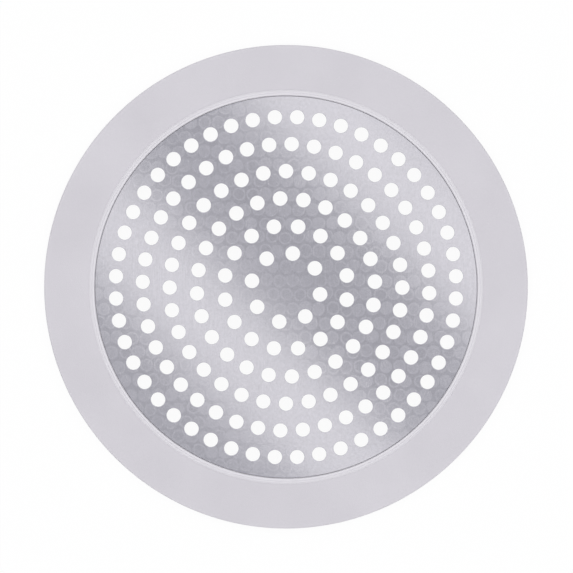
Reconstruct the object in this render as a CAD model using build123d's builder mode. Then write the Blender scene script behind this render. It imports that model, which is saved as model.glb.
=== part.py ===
from build123d import *
import os

os.makedirs("parts", exist_ok=True)

# All sizes are millimetres. The round cover is turned about Z, and Z = 0 is the sink that it lies on.

# Sizes of the perforated dome, a disc of steel sheet
dome_diameter = 115.0
dome_rise = 4.5  # crown above edge
sheet_thickness = 0.6
seat_height = 1.8  # underside of the sheet's edge, above the sink
hole_diameter = 4.3  # across the flats
hole_sides = 12
hole_ring_count = 6
holes_in_first_ring = 8  # and as many more in each ring further out
first_hole_ring_radius = 10.4
hole_edge_margin = 6.25  # from the middle of the last ring's holes to the sheet's edge
hole_pattern_angle = -11.25  # degrees from +X, where every ring starts

# Sizes of the hard ring that the dome drops into
edge_gap = 0.3  # all round, between the sheet's edge and the lip
seat_clearance = 0.15  # between the sheet and the shelf
shelf_width = 2.6
lip_width = 1.6
lip_stand = 0.5  # above the flange beside it
lead_in_bevel = 0.35  # on the lip's inner edge
web_width = 3.6  # buried in the flange, outside the lip
web_thickness = 0.8
key_slot_count = 8
key_slot_width = 2.0  # out from the axis
key_slot_length = 9.0

# Sizes of the soft flange
flange_width = 13.6  # out from the lip
flange_thickness = 2.2
flange_bevel = 0.7  # on its outer top edge
under_ring_thickness = 0.8
under_ring_width = 2.4  # inwards from the outside of the lip
channel_width = 5.0
channel_depth = 0.5  # at its middle
outer_land_width = 3.0  # flat underside outside the channel

# One overrun for every cut
cut_overrun = 1.0

# Radii and levels of the dome
dome_radius = dome_diameter / 2
last_hole_ring_radius = dome_radius - hole_edge_margin
hole_ring_pitch = (last_hole_ring_radius - first_hole_ring_radius) / (hole_ring_count - 1)
crown_underside = seat_height + dome_rise
crown_top = crown_underside + sheet_thickness

# Radii and levels of the ring
lip_inner_radius = dome_radius + edge_gap
lip_outer_radius = lip_inner_radius + lip_width
shelf_inner_radius = lip_inner_radius - shelf_width
web_outer_radius = lip_outer_radius + web_width
key_circle_radius = lip_outer_radius + web_width / 2
ring_bottom = under_ring_thickness
web_top = ring_bottom + web_thickness
lip_top = flange_thickness + lip_stand

# Radii of the flange
flange_radius = lip_outer_radius + flange_width
flange_inner_radius = lip_outer_radius - under_ring_width
channel_outer_radius = flange_radius - outer_land_width
channel_inner_radius = channel_outer_radius - channel_width
channel_middle_radius = channel_outer_radius - channel_width / 2

# A square patch a little wider than the dome, and how far its side's middle lies below the crown
patch_half_width = dome_radius + cut_overrun
patch_drop = dome_rise * (patch_half_width / dome_radius) ** 2


def patch_point(x_step, y_step):
    # Steps are -1, 0 and 1. Nine such control points make a face that falls with the square of the radius.
    height = crown_top - 2 * patch_drop * (abs(x_step) + abs(y_step) - 1)
    return Vector(x_step * patch_half_width, y_step * patch_half_width, height)


def shelf_height(radius):
    # The shelf runs under the sheet, at the seat clearance from it
    return crown_underside - dome_rise * (radius / dome_radius) ** 2 - seat_clearance


# Perforated dome: a dished sheet, cut round and pierced straight down by rings of holes. Each hole has flat
# sides, so that so many of them stay light.
with BuildPart() as strainer_dome:
    steps = (-1, 0, 1)
    top_face = Face.make_bezier_surface([[patch_point(x, y) for y in steps] for x in steps])
    extrude(top_face, amount=sheet_thickness, dir=(0, 0, -1))
    with BuildSketch():
        Circle(dome_radius)
        for ring in range(hole_ring_count):
            ring_radius = first_hole_ring_radius + ring * hole_ring_pitch
            ring_holes = holes_in_first_ring * (ring + 1)
            with PolarLocations(ring_radius, ring_holes, hole_pattern_angle):
                RegularPolygon(hole_diameter / 2, hole_sides, major_radius=False, mode=Mode.SUBTRACT)
    extrude(amount=crown_top + cut_overrun, mode=Mode.INTERSECT)

# Seat ring: a lip round the dome, a shelf under its edge, and outside them a web with keying slots
with BuildPart() as seat_ring:
    with BuildSketch(Plane.XZ):
        with BuildLine():
            Polyline(
                (shelf_inner_radius, ring_bottom),
                (web_outer_radius, ring_bottom),
                (web_outer_radius, web_top),
                (lip_outer_radius, web_top),
                (lip_outer_radius, lip_top),
                (lip_inner_radius + lead_in_bevel, lip_top),
                (lip_inner_radius, lip_top - lead_in_bevel),
                (lip_inner_radius, shelf_height(lip_inner_radius)),
                (shelf_inner_radius, shelf_height(shelf_inner_radius)),
                close=True,
            )
        make_face()
    revolve(axis=Axis.Z)
    with BuildSketch(Plane.XY.offset(ring_bottom)):
        with PolarLocations(key_circle_radius, key_slot_count):
            Rectangle(key_slot_width, key_slot_length)
    extrude(amount=web_thickness, mode=Mode.SUBTRACT)

# Soft flange: moulded round the web and through its slots, with a bevelled edge, and underneath two flat
# sealing lands with a shallow channel between them
with BuildPart() as silicone_rim:
    with BuildSketch(Plane.XZ):
        with BuildLine():
            Polyline(
                (flange_inner_radius, 0),
                (channel_inner_radius, 0),
                (channel_middle_radius, channel_depth),
                (channel_outer_radius, 0),
                (flange_radius, 0),
                (flange_radius, flange_thickness - flange_bevel),
                (flange_radius - flange_bevel, flange_thickness),
                (lip_outer_radius, flange_thickness),
                (lip_outer_radius, web_top),
                (web_outer_radius, web_top),
                (web_outer_radius, ring_bottom),
                (flange_inner_radius, ring_bottom),
                close=True,
            )
        make_face()
    revolve(axis=Axis.Z)
    with BuildSketch(Plane.XY.offset(ring_bottom)):
        with PolarLocations(key_circle_radius, key_slot_count):
            Rectangle(key_slot_width, key_slot_length)
    extrude(amount=web_thickness)

strainer_dome.part.label = "strainer_dome"
seat_ring.part.label = "seat_ring"
silicone_rim.part.label = "silicone_rim"

export_step(strainer_dome.part, "parts/strainer_dome.step")
export_step(seat_ring.part, "parts/seat_ring.step")
export_step(silicone_rim.part, "parts/silicone_rim.step")
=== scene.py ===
import math

import bmesh
import bpy
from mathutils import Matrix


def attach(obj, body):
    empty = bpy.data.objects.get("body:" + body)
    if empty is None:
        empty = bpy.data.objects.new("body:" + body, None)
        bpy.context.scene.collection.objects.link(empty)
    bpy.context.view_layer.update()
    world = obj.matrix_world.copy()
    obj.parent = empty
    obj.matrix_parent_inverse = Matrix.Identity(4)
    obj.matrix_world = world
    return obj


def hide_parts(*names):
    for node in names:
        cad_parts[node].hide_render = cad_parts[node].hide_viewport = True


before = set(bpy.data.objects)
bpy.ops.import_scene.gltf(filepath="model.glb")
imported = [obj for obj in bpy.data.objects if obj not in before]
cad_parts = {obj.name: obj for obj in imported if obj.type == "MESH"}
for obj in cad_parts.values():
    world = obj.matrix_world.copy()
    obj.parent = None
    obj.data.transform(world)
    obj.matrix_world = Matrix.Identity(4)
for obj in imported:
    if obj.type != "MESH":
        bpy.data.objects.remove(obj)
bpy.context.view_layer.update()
print("frame loaded:", ", ".join(sorted(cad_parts)))

mm = 0.001  # lengths below are in millimetres and angles in degrees, where no note says otherwise
fullTurn = 2 * math.pi
turnSteps = 256  # straight steps round each turned piece
nearEnough = 0.01 * mm  # how near a point lies to the place that it is picked by
noiseRange = (0.3, 0.7)  # nearly all values of a noise texture lie in it


# ways of working that the pieces share

def startEdit(piece):
    bpy.ops.object.select_all(action="DESELECT")
    piece.select_set(True)
    bpy.context.view_layer.objects.active = piece
    bpy.ops.object.mode_set(mode="EDIT")
    bpy.ops.mesh.select_mode(type="EDGE")


def pickEdges(piece, wanted):
    # an edge is picked where both of its ends are wanted
    bpy.ops.mesh.select_all(action="DESELECT")
    shape = bmesh.from_edit_mesh(piece.data)
    for edge in shape.edges:
        edge.select_set(all(wanted(end.co) for end in edge.verts))
    bmesh.update_edit_mesh(piece.data)


def addCircle(steps, radius, place=(0, 0, 0)):
    bpy.ops.mesh.primitive_circle_add(vertices=steps, radius=radius, location=place)


def turnSection(name, corners):
    # a circle at the first corner of the section, pulled from corner to corner until it meets itself
    bpy.ops.object.select_all(action="DESELECT")
    radius, height = corners[0]
    addCircle(turnSteps, radius * mm, (0, 0, height * mm))
    piece = bpy.context.active_object
    piece.name = name
    bpy.ops.object.transform_apply()
    startEdit(piece)
    bpy.ops.mesh.select_all(action="SELECT")
    for nextRadius, nextHeight in corners[1:] + corners[:1]:
        growth = nextRadius / radius
        rise = (nextHeight - height) * mm
        bpy.ops.mesh.extrude_edges_move(TRANSFORM_OT_translate={"value": (0, 0, rise)})
        bpy.ops.transform.resize(value=(growth, growth, 1), center_override=(0, 0, 0))
        radius, height = nextRadius, nextHeight
    bpy.ops.mesh.select_all(action="SELECT")
    bpy.ops.mesh.remove_doubles(threshold=nearEnough)
    bpy.ops.mesh.normals_make_consistent(inside=False)
    return piece


def roundCorners(piece, corners, width, segments):
    def atCorner(point):
        return any(abs(point.xy.length - radius * mm) < nearEnough
                   and abs(point.z - height * mm) < nearEnough for radius, height in corners)

    pickEdges(piece, atCorner)
    bpy.ops.mesh.bevel(offset=width * mm, segments=segments, affect="EDGES")


def smoothPiece(piece, sharpFrom):
    # smooth shading that leaves the flats flat, and edges sharp from the given angle up
    bpy.ops.object.mode_set(mode="OBJECT")
    bpy.ops.object.shade_smooth_by_angle(angle=math.radians(sharpFrom))
    bpy.ops.object.modifier_add(type="WEIGHTED_NORMAL")
    piece.modifiers[-1].keep_sharp = True
    bpy.ops.object.modifier_apply(modifier=piece.modifiers[-1].name)


def finishPiece(piece, material, body, node):
    # the piece takes its node's place
    piece.data.materials.append(material)
    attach(piece, body)
    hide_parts(node)


def addNode(tree, kind, inputs, **settings):
    # inputs that are sockets are linked, and the others are set
    made = tree.nodes.new("ShaderNode" + kind)
    for name, value in settings.items():
        setattr(made, name, value)
    for name, value in inputs.items():
        if isinstance(value, bpy.types.NodeSocket):
            tree.links.new(value, made.inputs[name])
        else:
            made.inputs[name].default_value = value
    return made


def startMaterial(name):
    material = bpy.data.materials.new(name)
    material.use_nodes = True
    tree = material.node_tree
    shader = tree.nodes["Principled BSDF"]
    place = tree.nodes.new("ShaderNodeTexCoord").outputs["Object"]
    return material, tree, shader, place


def sums(tree, operation, first, second):
    # one step of arithmetic, in which an operation on one value leaves the second alone
    return addNode(tree, "Math", {0: first, 1: second}, operation=operation).outputs[0]


def mapRange(tree, value, fromLow, fromHigh, toLow, toHigh):
    inputs = {"Value": value, "From Min": fromLow, "From Max": fromHigh, "To Min": toLow, "To Max": toHigh}
    return addNode(tree, "MapRange", inputs).outputs["Result"]


def noise(tree, place, size, detail, length=1, turn=0):
    # size is that of one blotch in millimetres, drawn out to so many times its length along a turned Y
    mapped = {"Vector": place, "Rotation": (0, 0, math.radians(turn)), "Scale": (1, length, 1)}
    moved = addNode(tree, "Mapping", mapped, vector_type="TEXTURE").outputs[0]
    inputs = {"Vector": moved, "Scale": 1 / (size * mm), "Detail": detail}
    return addNode(tree, "TexNoise", inputs)


def hairlines(tree, place, size, length, turn, patchSize):
    # fine scratches along the turned Y, in patches: 1 on a line and 0 beside it
    lineReach = 0.008  # from the middle value of the waves
    patchRange = (0.52, 0.62)  # of the noise, from no lines to all of them
    waves = noise(tree, place, size, 1, length, turn).outputs["Fac"]
    away = sums(tree, "ABSOLUTE", sums(tree, "SUBTRACT", waves, 0.5), 0)
    patches = noise(tree, place, patchSize, 1, 1, turn).outputs["Fac"]
    lines = mapRange(tree, away, 0, lineReach, 1, 0)
    return sums(tree, "MULTIPLY", lines, mapRange(tree, patches, *patchRange, 0, 1))


def specks(tree, place, spacing, size, share):
    # scattered specks of dust: 1 on a speck and 0 beside it
    radius = size / spacing / 2  # in cells of the pattern
    cells = addNode(tree, "TexVoronoi", {"Vector": place, "Scale": 1 / (spacing * mm)})
    spot = mapRange(tree, cells.outputs["Distance"], radius / 2, radius, 1, 0)
    chosen = addNode(tree, "SeparateColor", {0: cells.outputs["Color"]}).outputs[0]
    return sums(tree, "MULTIPLY", spot, sums(tree, "LESS_THAN", chosen, share))


def fromAxis(tree, place):
    # distance from the object's axis, in millimetres
    flat = addNode(tree, "VectorMath", {0: place, 1: (1, 1, 0)}, operation="MULTIPLY").outputs[0]
    distance = addNode(tree, "VectorMath", {0: flat}, operation="LENGTH").outputs["Value"]
    return sums(tree, "DIVIDE", distance, mm)


def mixColours(tree, share, dark, light):
    # the two colours are sockets 6 and 7 of the node, and its colour comes out at 2
    return addNode(tree, "Mix", {0: share, 6: dark, 7: light}, data_type="RGBA").outputs[2]


def addUp(tree, parts):
    # the values, each times its share, in one sum
    scaled = [sums(tree, "MULTIPLY", value, share) for value, share in parts]
    total = scaled[0]
    for part in scaled[1:]:
        total = sums(tree, "ADD", total, part)
    return total


def layBumps(tree, shader, layers):
    # one bump over another, each with its heights and its depth in millimetres
    below = {}
    for heights, depth in layers:
        inputs = {"Height": heights, "Strength": 1, "Distance": depth * mm, **below}
        below = {"Normal": addNode(tree, "Bump", inputs).outputs[0]}
    tree.links.new(below["Normal"], shader.inputs["Normal"])


# soft flange

flange = {
    "insideRadius": 57.0,
    "lipRadius": 59.4,
    "webRadius": 63.0,
    "channelRadii": (65.0, 67.5, 70.0),
    "outsideRadius": 72.97,
    "underRing": 0.8,
    "webTop": 1.6,
    "thickness": 2.2,
    "channelDepth": 0.5,
    "topRounding": (0.6, 5),  # each rounding's width and steps
    "edgeRounding": (0.15, 2),
    "landRounding": (0.25, 3),
    "channelRounding": (1.6, 5),
    "sharpFrom": 40,  # degrees between faces, where the shading shows an edge
    "partingHeight": 0.95,  # of the fine line that the mould leaves round its edge
    "partingWidth": 0.12,
    "partingStand": 0.04,
    "darkColour": (0.608, 0.590, 0.630, 1),
    "lightColour": (0.682, 0.664, 0.704, 1),
    "rubbedColour": (0.72, 0.705, 0.745, 1),
    "dustColour": (0.84, 0.83, 0.84, 1),
    "roughness": (0.46, 0.62),
    "refraction": 1.41,
    "cloudSize": 24.0,
    "cloudShare": 0.5,  # each pattern's share in the tone
    "rippleSize": 5.0,
    "rippleDepth": 0.04,
    "grainSize": 0.24,
    "grainShare": 0.5,
    "grainDepth": 0.05,
    "dustSpacing": 0.8,
    "dustSize": 0.17,
    "dustShare": 0.4,  # of the places where a speck could lie
    "dustStrength": 0.7,
    "rubbedRadii": (71.6, 72.9),
    "rubbedStrength": 0.5,
    "rubbedSmoothing": 0.12,
}


def makeSilicone():
    material, tree, shader, place = startMaterial("paleSilicone")
    clouds = noise(tree, place, flange["cloudSize"], 3).outputs["Fac"]
    ripple = noise(tree, place, flange["rippleSize"], 2).outputs["Fac"]
    grain = noise(tree, place, flange["grainSize"], 3).outputs["Fac"]
    dust = specks(tree, place, flange["dustSpacing"], flange["dustSize"], flange["dustShare"])

    # its outer edge is handled most, and is rubbed a little paler and smoother there
    rubbed = mapRange(tree, fromAxis(tree, place), *flange["rubbedRadii"], 0, 1)
    rubbed = sums(tree, "MULTIPLY", rubbed, clouds)
    tone = sums(tree, "ADD", mapRange(tree, clouds, *noiseRange, 0, flange["cloudShare"]),
                mapRange(tree, grain, *noiseRange, 0, flange["grainShare"]))
    colour = mixColours(tree, tone, flange["darkColour"], flange["lightColour"])
    paler = sums(tree, "MULTIPLY", rubbed, flange["rubbedStrength"])
    colour = mixColours(tree, paler, colour, flange["rubbedColour"])
    dusty = sums(tree, "MULTIPLY", dust, flange["dustStrength"])
    colour = mixColours(tree, dusty, colour, flange["dustColour"])
    tree.links.new(colour, shader.inputs["Base Color"])
    rough = mapRange(tree, grain, *noiseRange, *flange["roughness"])
    rough = sums(tree, "SUBTRACT", rough, sums(tree, "MULTIPLY", rubbed, flange["rubbedSmoothing"]))
    tree.links.new(rough, shader.inputs["Roughness"])
    layBumps(tree, shader, [(ripple, flange["rippleDepth"]), (grain, flange["grainDepth"])])
    shader.inputs["IOR"].default_value = flange["refraction"]
    return material


def makeFlange():
    inner, middle, outer = flange["channelRadii"]
    edge = flange["outsideRadius"] - flange["partingStand"]
    parting = [
        (edge, flange["partingHeight"] - flange["partingWidth"] / 2),
        (flange["outsideRadius"], flange["partingHeight"]),
        (edge, flange["partingHeight"] + flange["partingWidth"] / 2),
    ]
    corners = [
        (flange["insideRadius"], 0),
        (inner, 0),
        (middle, flange["channelDepth"]),
        (outer, 0),
        (edge, 0),
        *parting,
        (edge, flange["thickness"]),
        (flange["lipRadius"], flange["thickness"]),
        (flange["lipRadius"], flange["webTop"]),
        (flange["webRadius"], flange["webTop"]),
        (flange["webRadius"], flange["underRing"]),
        (flange["insideRadius"], flange["underRing"]),
    ]
    piece = turnSection("softFlange", corners)
    roundCorners(piece, [(edge, flange["thickness"])], *flange["topRounding"])
    roundCorners(piece, [(edge, 0), (flange["insideRadius"], 0)], *flange["edgeRounding"])
    roundCorners(piece, [(inner, 0), (outer, 0)], *flange["landRounding"])
    roundCorners(piece, [(middle, flange["channelDepth"])], *flange["channelRounding"])
    smoothPiece(piece, flange["sharpFrom"])
    finishPiece(piece, makeSilicone(), "rim", "silicone_rim")


makeFlange()
print("soft flange made")


# hard ring that the dome lies in

ring = {
    "shelfRadius": 55.2,
    "lipInside": 57.8,
    "lipOutside": 59.4,
    "webRadius": 63.0,
    "bottom": 0.8,
    "webTop": 1.6,
    "lipTop": 2.7,
    "shelfHeights": (2.0, 1.6),  # at its inner side and under the lip
    "ledgeInside": 57.64,
    "ledgeTop": 2.2,
    "flankWidth": 0.58,  # of the slope on the lip's outer side
    "flankBottom": 2.24,
    "grooveMiddle": 58.5,
    "grooveWidth": 0.3,
    "grooveDepth": 0.13,
    "leadInRounding": (0.18, 4),  # each rounding's width and steps
    "lipRounding": (0.2, 4),
    "grooveRounding": (0.06, 2),
    "sharpFrom": 40,
    "darkColour": (0.749, 0.734, 0.771, 1),
    "lightColour": (0.784, 0.769, 0.806, 1),
    "scratchColour": (0.66, 0.645, 0.69, 1),
    "roughness": (0.32, 0.44),
    "cloudSize": 9.0,
    "cloudShare": 0.5,
    "grainSize": 0.15,
    "grainDepth": 0.006,
    "toolMark": 0.1,
    "toolMarkShare": 0.5,
    "toolMarkDepth": 0.008,
    "scratchSize": 1.6,
    "scratchLength": 30,  # times as long as wide
    "scratchTurn": 25,
    "scratchStrength": 0.4,
}


def makeRingPlastic():
    material, tree, shader, place = startMaterial("satinPlastic")
    clouds = noise(tree, place, ring["cloudSize"], 3).outputs["Fac"]
    grain = noise(tree, place, ring["grainSize"], 2).outputs["Fac"]
    scratches = hairlines(tree, place, ring["scratchSize"], ring["scratchLength"], ring["scratchTurn"],
                          ring["cloudSize"])

    # the mould was turned, and its fine tool marks run round the axis
    outwards = sums(tree, "DIVIDE", fromAxis(tree, place), ring["toolMark"])
    around = addNode(tree, "CombineXYZ", {"X": outwards}).outputs[0]
    marks = addNode(tree, "TexNoise", {"Vector": around, "Scale": 1, "Detail": 2}).outputs["Fac"]
    tone = addUp(tree, [(clouds, ring["cloudShare"]), (marks, ring["toolMarkShare"])])
    colour = mixColours(tree, tone, ring["darkColour"], ring["lightColour"])
    scratched = sums(tree, "MULTIPLY", scratches, ring["scratchStrength"])
    colour = mixColours(tree, scratched, colour, ring["scratchColour"])
    tree.links.new(colour, shader.inputs["Base Color"])
    tree.links.new(mapRange(tree, marks, *noiseRange, *ring["roughness"]), shader.inputs["Roughness"])
    layBumps(tree, shader, [(marks, ring["toolMarkDepth"]), (grain, ring["grainDepth"])])
    return material


def makeRing():
    top = ring["lipTop"]
    flankTop = ring["lipOutside"] - ring["flankWidth"]
    shelfInside, shelfOutside = ring["shelfHeights"]
    floorOfGroove = top - ring["grooveDepth"]
    grooveIn = ring["grooveMiddle"] - ring["grooveWidth"] / 2
    grooveOut = ring["grooveMiddle"] + ring["grooveWidth"] / 2
    groove = [(grooveOut, top), (grooveOut, floorOfGroove), (grooveIn, floorOfGroove), (grooveIn, top)]
    corners = [
        (ring["shelfRadius"], ring["bottom"]),
        (ring["webRadius"], ring["bottom"]),
        (ring["webRadius"], ring["webTop"]),
        (ring["lipOutside"], ring["webTop"]),
        (ring["lipOutside"], ring["flankBottom"]),
        (flankTop, top),
        *groove,
        (ring["lipInside"], top),
        (ring["lipInside"], ring["ledgeTop"]),
        (ring["ledgeInside"], ring["ledgeTop"]),
        (ring["ledgeInside"], shelfOutside),
        (ring["shelfRadius"], shelfInside),
    ]
    piece = turnSection("seatRing", corners)
    roundCorners(piece, groove, *ring["grooveRounding"])
    roundCorners(piece, [(flankTop, top)], *ring["lipRounding"])
    roundCorners(piece, [(ring["lipInside"], top)], *ring["leadInRounding"])
    smoothPiece(piece, ring["sharpFrom"])
    finishPiece(piece, makeRingPlastic(), "rim", "seat_ring")


makeRing()
print("seat ring made")


# perforated dome of steel sheet

dome = {
    "radius": 57.5,
    "rise": 4.5,
    "crown": 6.895,
    "thickness": 0.6,
    "holeRadius": 2.175,
    "holeSteps": 24,
    "rings": 6,
    "holesPerRing": 8,  # in the first, and as many more in each ring further out
    "firstRing": 10.4,
    "ringPitch": 8.17,
    "startAngle": -11.25,
    "hubRadius": 6.3,  # the plain middle of the sheet
    "hubSteps": 3,  # round its edge, for each hole of the first ring
    "bandSteps": 5,  # round the sheet outside a ring of holes, for each of its holes
    "rimRadius": 54.9,  # the plain edge of the sheet starts here
    "holeRounding": 0.12,
    "edgeRounding": (0.05, 1),  # width and steps
    "easedFrom": 60,  # degrees between faces, where the holes' edges are rounded
    "sharpFrom": 50,
    "darkColour": (0.491, 0.486, 0.524, 1),
    "lightColour": (0.696, 0.689, 0.744, 1),
    "scratchColour": (0.80, 0.80, 0.82, 1),
    "roughness": (0.16, 0.25),
    "streakSize": 0.5,
    "streakLength": 40,  # times as long as wide
    "streakShare": 0.14,  # each pattern's share in the tone
    "brushSize": 0.11,
    "brushLength": 60,
    "brushDepth": 0.002,
    "scratchSize": 1.3,
    "scratchRuns": [(50, 32, 9.0), (60, -57, 13.0)],  # times as long as wide, degrees, size of patches
    "scratchStrength": 0.1,
    "scratchRoughness": 0.04,
    "cloudSize": 14.0,
    "cloudShare": 0.15,
    "mottleSize": 0.85,
    "mottleShare": 0.44,
    "circlePitch": (4.05, 4.3),
    "circleRadius": 1.8,
    "circleEdge": 0.17,  # how soft its outline is
    "circleTones": (0.12, 0.8),  # of the sheet inside each circle
    "outlineTone": 0.76,
    "gapTone": 0.08,
    "circleShift": 0.6,  # how far out of its row a circle may lie
    "circleWarp": 2.0,
    "warpSize": 15.0,
    "fadeSize": 22.0,  # of the patches where the circles fade
    "fadeRange": (0.4, 0.6),  # of the noise
    "fadeStrength": (0.6, 1),
    "circleShare": 0.27,
    "circleRoughness": (-0.03, 0.045),  # added in the gaps and on the outlines
    "circleDepth": 0.0035,
}


def circleRows(tree, place):
    # small circles in rows, every second row half a pitch along, slightly out of true: dark in the gaps
    # between them, pale on their outlines, and each a little different inside
    warp = noise(tree, place, dome["warpSize"], 1).outputs["Color"]
    warp = addNode(tree, "VectorMath", {0: warp, 1: (0.5, 0.5, 0.5)}, operation="SUBTRACT").outputs[0]
    inMm = addNode(tree, "VectorMath", {0: place, "Scale": 1 / mm}, operation="SCALE").outputs[0]
    warpInputs = {0: warp, 1: (dome["circleWarp"],) * 3, 2: inMm}
    warped = addNode(tree, "VectorMath", warpInputs, operation="MULTIPLY_ADD").outputs[0]
    split = addNode(tree, "SeparateXYZ", {0: warped})
    across, along = dome["circlePitch"]
    row = sums(tree, "DIVIDE", split.outputs["Y"], along)
    rowNumber = sums(tree, "FLOOR", row, 0)
    halfStep = sums(tree, "MULTIPLY", sums(tree, "FLOORED_MODULO", rowNumber, 2), 0.5)
    column = sums(tree, "ADD", sums(tree, "DIVIDE", split.outputs["X"], across), halfStep)
    cell = addNode(tree, "CombineXYZ", {"X": sums(tree, "FLOOR", column, 0), "Y": rowNumber})

    # each circle's own tone and shift, and the distance from its middle
    drawn = addNode(tree, "TexWhiteNoise", {"Vector": cell.outputs[0]}).outputs
    tone = mapRange(tree, drawn["Value"], 0, 1, *dome["circleTones"])
    shift = dome["circleShift"]
    shiftInputs = {0: drawn["Color"], 1: (shift, shift, 0), 2: (-shift / 2, -shift / 2, 0)}
    shifted = addNode(tree, "VectorMath", shiftInputs, operation="MULTIPLY_ADD").outputs[0]
    fromX = sums(tree, "MULTIPLY", sums(tree, "SUBTRACT", sums(tree, "FRACT", column, 0), 0.5), across)
    fromY = sums(tree, "MULTIPLY", sums(tree, "SUBTRACT", sums(tree, "FRACT", row, 0), 0.5), along)
    offset = addNode(tree, "CombineXYZ", {"X": fromX, "Y": fromY}).outputs[0]
    offset = addNode(tree, "VectorMath", {0: offset, 1: shifted}, operation="ADD").outputs[0]
    distance = addNode(tree, "VectorMath", {0: offset}, operation="LENGTH").outputs["Value"]
    edge, soft = dome["circleRadius"], dome["circleEdge"]
    inside = mapRange(tree, distance, edge - 3 * soft, edge - soft, tone, dome["outlineTone"])
    outside = mapRange(tree, distance, edge, edge + 2 * soft, 0, dome["outlineTone"] - dome["gapTone"])
    return sums(tree, "SUBTRACT", inside, outside)


def makeSteel():
    material, tree, shader, place = startMaterial("brushedSteel")
    streaks = noise(tree, place, dome["streakSize"], 4, dome["streakLength"]).outputs["Fac"]
    brush = noise(tree, place, dome["brushSize"], 3, dome["brushLength"]).outputs["Fac"]
    clouds = noise(tree, place, dome["cloudSize"], 3).outputs["Fac"]
    mottle = noise(tree, place, dome["mottleSize"], 2).outputs["Fac"]
    oneWay, otherWay = [hairlines(tree, place, dome["scratchSize"], *run) for run in dome["scratchRuns"]]
    scratches = sums(tree, "MAXIMUM", oneWay, otherWay)

    # the circles fade here and there
    fade = noise(tree, place, dome["fadeSize"], 1).outputs["Fac"]
    strength = mapRange(tree, fade, *dome["fadeRange"], *dome["fadeStrength"])
    circles = sums(tree, "SUBTRACT", circleRows(tree, place), 0.5)
    circles = sums(tree, "ADD", sums(tree, "MULTIPLY", circles, strength), 0.5)

    tone = addUp(tree, [(streaks, dome["streakShare"]), (circles, dome["circleShare"]),
                        (clouds, dome["cloudShare"]), (mottle, dome["mottleShare"])])
    colour = mixColours(tree, tone, dome["darkColour"], dome["lightColour"])
    scratched = sums(tree, "MULTIPLY", scratches, dome["scratchStrength"])
    colour = mixColours(tree, scratched, colour, dome["scratchColour"])
    tree.links.new(colour, shader.inputs["Base Color"])

    # outlines are rougher and gaps smoother, so that the circles stand out where the steel reflects
    # the dark and fade in its bright bands
    rough = mapRange(tree, brush, *noiseRange, *dome["roughness"])
    rough = sums(tree, "ADD", rough, mapRange(tree, circles, 0, 1, *dome["circleRoughness"]))
    rough = sums(tree, "ADD", rough, sums(tree, "MULTIPLY", scratches, dome["scratchRoughness"]))
    tree.links.new(rough, shader.inputs["Roughness"])
    layBumps(tree, shader, [(circles, dome["circleDepth"]), (brush, dome["brushDepth"])])
    shader.inputs["Metallic"].default_value = 1
    return material


def fillBand(piece, inside, outside):
    # the sheet between two circles and round the holes that lie between them
    def inBand(point):
        return inside - nearEnough < point.xy.length < outside + nearEnough

    pickEdges(piece, inBand)
    bpy.ops.mesh.fill(use_beauty=True)


def followSphere(piece, sphere):
    # the flats shade as the true dished face does, whichever way their long triangles run
    crown, thickness = dome["crown"] * mm, dome["thickness"] * mm
    shape = piece.data
    normals = [tuple(corner.vector) for corner in shape.corner_normals]
    for index, corner in enumerate(shape.loops):
        point = shape.vertices[corner.vertex_index].co
        rise = math.sqrt(sphere ** 2 - point.xy.length_squared)
        below = crown - sphere + rise - point.z
        if abs(below) < nearEnough or abs(below - thickness) < nearEnough:
            side = 1 if below < thickness / 2 else -1
            normals[index] = (side * point.x / sphere, side * point.y / sphere, side * rise / sphere)
    shape.normals_split_custom_set(normals)


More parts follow.
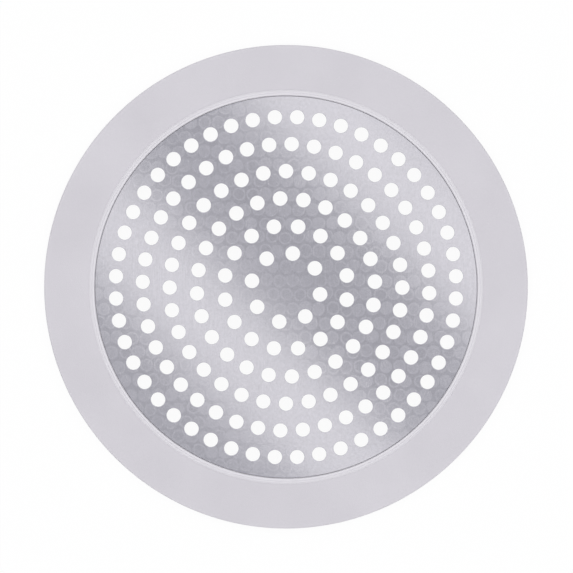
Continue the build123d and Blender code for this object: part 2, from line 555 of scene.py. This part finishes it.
def makeDome():
    bpy.ops.object.select_all(action="DESELECT")
    reached = dome["hubRadius"] * mm
    addCircle(dome["holesPerRing"] * dome["hubSteps"], reached)
    piece = bpy.context.active_object
    piece.name = "perforatedDome"
    startEdit(piece)
    bpy.ops.mesh.select_all(action="SELECT")
    bpy.ops.mesh.edge_face_add()
    bpy.ops.mesh.poke()

    # one hole for each ring, copied round the axis, and then the sheet round them
    start = math.radians(dome["startAngle"])
    for index in range(dome["rings"]):
        holes = dome["holesPerRing"] * (index + 1)
        radius = (dome["firstRing"] + index * dome["ringPitch"]) * mm
        bpy.ops.mesh.select_all(action="DESELECT")
        middle = (radius * math.cos(start), radius * math.sin(start), 0)
        addCircle(dome["holeSteps"], dome["holeRadius"] * mm, middle)
        bpy.ops.mesh.spin(steps=holes - 1, angle=fullTurn * (holes - 1) / holes, dupli=True,
                          center=(0, 0, 0), axis=(0, 0, 1))
        last = index == dome["rings"] - 1
        outside = dome["rimRadius"] * mm if last else radius + dome["ringPitch"] / 2 * mm
        bpy.ops.mesh.select_all(action="DESELECT")
        addCircle(holes * dome["bandSteps"], outside)
        fillBand(piece, reached, outside)
        reached = outside
    bpy.ops.mesh.select_all(action="DESELECT")
    addCircle(turnSteps, dome["radius"] * mm)
    fillBand(piece, reached, dome["radius"] * mm)
    bpy.ops.mesh.select_all(action="SELECT")
    bpy.ops.mesh.normals_make_consistent(inside=False)

    # its thickness, and its sharp edges eased
    bpy.ops.mesh.extrude_region_move(TRANSFORM_OT_translate={"value": (0, 0, -dome["thickness"] * mm)})
    bpy.ops.mesh.select_all(action="SELECT")
    bpy.ops.mesh.normals_make_consistent(inside=False)
    bpy.ops.mesh.select_all(action="DESELECT")
    bpy.ops.mesh.edges_select_sharp(sharpness=math.radians(dome["easedFrom"]))
    shape = bmesh.from_edit_mesh(piece.data)
    for edge in shape.edges:
        if edge.verts[0].co.xy.length > dome["rimRadius"] * mm:
            edge.select_set(False)
    bmesh.update_edit_mesh(piece.data)
    bpy.ops.mesh.bevel(offset=dome["holeRounding"] * mm, segments=1, affect="EDGES")
    roundCorners(piece, [(dome["radius"], 0)], *dome["edgeRounding"])
    roundCorners(piece, [(dome["radius"], -dome["thickness"])], *dome["edgeRounding"])

    # dished to part of a sphere: the middle is lifted by the sphere's radius with a sphere's falloff
    sphere = (dome["radius"] ** 2 + dome["rise"] ** 2) / (2 * dome["rise"]) * mm
    bpy.ops.mesh.select_mode(type="VERT")
    bpy.ops.mesh.select_all(action="DESELECT")
    shape = bmesh.from_edit_mesh(piece.data)
    for point in shape.verts:
        point.select_set(point.co.xy.length < nearEnough)
    bmesh.update_edit_mesh(piece.data)
    bpy.ops.transform.translate(value=(0, 0, sphere), use_proportional_edit=True,
                                proportional_edit_falloff="SPHERE", proportional_size=sphere)
    bpy.ops.mesh.select_all(action="SELECT")
    bpy.ops.transform.translate(value=(0, 0, dome["crown"] * mm - sphere))
    smoothPiece(piece, dome["sharpFrom"])
    followSphere(piece, sphere)
    finishPiece(piece, makeSteel(), "strainer", "strainer_dome")


makeDome()
print("perforated dome made")


# floor, light and camera

studio = {
    "floorSize": 8.0,
    "floorBelow": 0.02,  # millimetres under the object, so that no two faces share a plane
    "floorColour": (0.95, 0.95, 0.955, 1),
    "floorRoughness": 0.8,
    "floorShown": 0.92,  # how much of the floor is plain white to the camera and in reflections
    "skyColours": [
        # degrees above the horizon, and the light from there, a little bluer overhead
        (0, (0.20, 0.20, 0.203, 1)),
        (12, (0.317, 0.317, 0.32, 1)),
        (26, (1.262, 1.262, 1.275, 1)),
        (45, (1.262, 1.262, 1.275, 1)),
        (63, (0.574, 0.575, 0.599, 1)),
        (90, (0.574, 0.575, 0.599, 1)),
    ],
    "lampColour": (1.0, 0.974, 0.927),
    "lamps": [
        # name, degrees round from +X and down from straight above, metres away, its two sides in metres
        # and its watts
        ("upperRight", 45, 19.2, 1.6, (0.378, 2.0), 1.54),
        ("lowerLeft", 225, 11.2, 1.53, (0.32, 2.0), 1.294),
    ],
    "aimHeight": 2.2,
    "aimShift": (0.15, 0.24),
    "tilt": 1.2,  # degrees towards +Y from straight above
    "lens": 150,
    "sensor": 36,
    "frameWidth": 172.65,  # millimetres at the aim height
    "clipStart": 0.01,
}


def makeFloor():
    bpy.ops.object.select_all(action="DESELECT")
    bpy.ops.mesh.primitive_plane_add(size=studio["floorSize"], location=(0, 0, -studio["floorBelow"] * mm))
    floor = bpy.context.active_object
    floor.name = "floor"
    material = bpy.data.materials.new("paleFloor")
    material.use_nodes = True
    tree = material.node_tree
    shader = tree.nodes["Principled BSDF"]
    shader.inputs["Base Color"].default_value = studio["floorColour"]
    shader.inputs["Roughness"].default_value = studio["floorRoughness"]
    rays = tree.nodes.new("ShaderNodeLightPath").outputs
    seen = sums(tree, "MAXIMUM", rays["Is Camera Ray"], rays["Is Glossy Ray"])
    seen = sums(tree, "MAXIMUM", seen, rays["Is Transmission Ray"])
    share = sums(tree, "MULTIPLY", seen, studio["floorShown"])
    white = addNode(tree, "Emission", {"Color": (1, 1, 1, 1), "Strength": 1}).outputs[0]
    mixed = addNode(tree, "MixShader", {0: share, 1: shader.outputs[0], 2: white}).outputs[0]
    tree.links.new(mixed, tree.nodes["Material Output"].inputs["Surface"])
    floor.data.materials.append(material)


def makeLamps():
    world = bpy.data.worlds.new("studioWorld")
    bpy.context.scene.world = world
    world.use_nodes = True
    tree = world.node_tree
    direction = tree.nodes.new("ShaderNodeTexCoord").outputs["Generated"]
    upward = addNode(tree, "SeparateXYZ", {0: direction}).outputs["Z"]
    ramp = addNode(tree, "ValToRGB", {0: upward})
    stops = ramp.color_ramp.elements
    while len(stops) < len(studio["skyColours"]):
        stops.new(0.5)
    for stop, (rise, colour) in zip(stops, studio["skyColours"]):
        stop.position = math.sin(math.radians(rise))
        stop.color = colour
    tree.links.new(ramp.outputs["Color"], tree.nodes["Background"].inputs["Color"])
    for name, turn, fall, away, sides, watts in studio["lamps"]:
        turn, fall = math.radians(turn), math.radians(fall)
        out = away * math.sin(fall)
        place = (out * math.cos(turn), out * math.sin(turn), away * math.cos(fall))
        bpy.ops.object.light_add(type="AREA", location=place, rotation=(0, fall, turn))
        lamp = bpy.context.active_object
        lamp.name = name
        lamp.data.shape = "RECTANGLE"
        lamp.data.size, lamp.data.size_y = sides
        lamp.data.energy = watts
        lamp.data.color = studio["lampColour"]
        lamp.visible_camera = False


def makeCamera():
    away = studio["frameWidth"] * mm * studio["lens"] / studio["sensor"]
    tilt = math.radians(studio["tilt"])
    shiftX, shiftY = studio["aimShift"]
    height = studio["aimHeight"] * mm + away * math.cos(tilt)
    place = (shiftX * mm, shiftY * mm + away * math.sin(tilt), height)
    bpy.ops.object.camera_add(location=place, rotation=(-tilt, 0, 0))
    camera = bpy.context.active_object
    camera.data.lens = studio["lens"]
    camera.data.sensor_width = studio["sensor"]
    camera.data.clip_start = studio["clipStart"]
    bpy.context.scene.camera = camera


makeFloor()
makeLamps()
makeCamera()
bpy.context.scene.view_settings.view_transform = "Standard"
print("floor, lamps and camera placed")
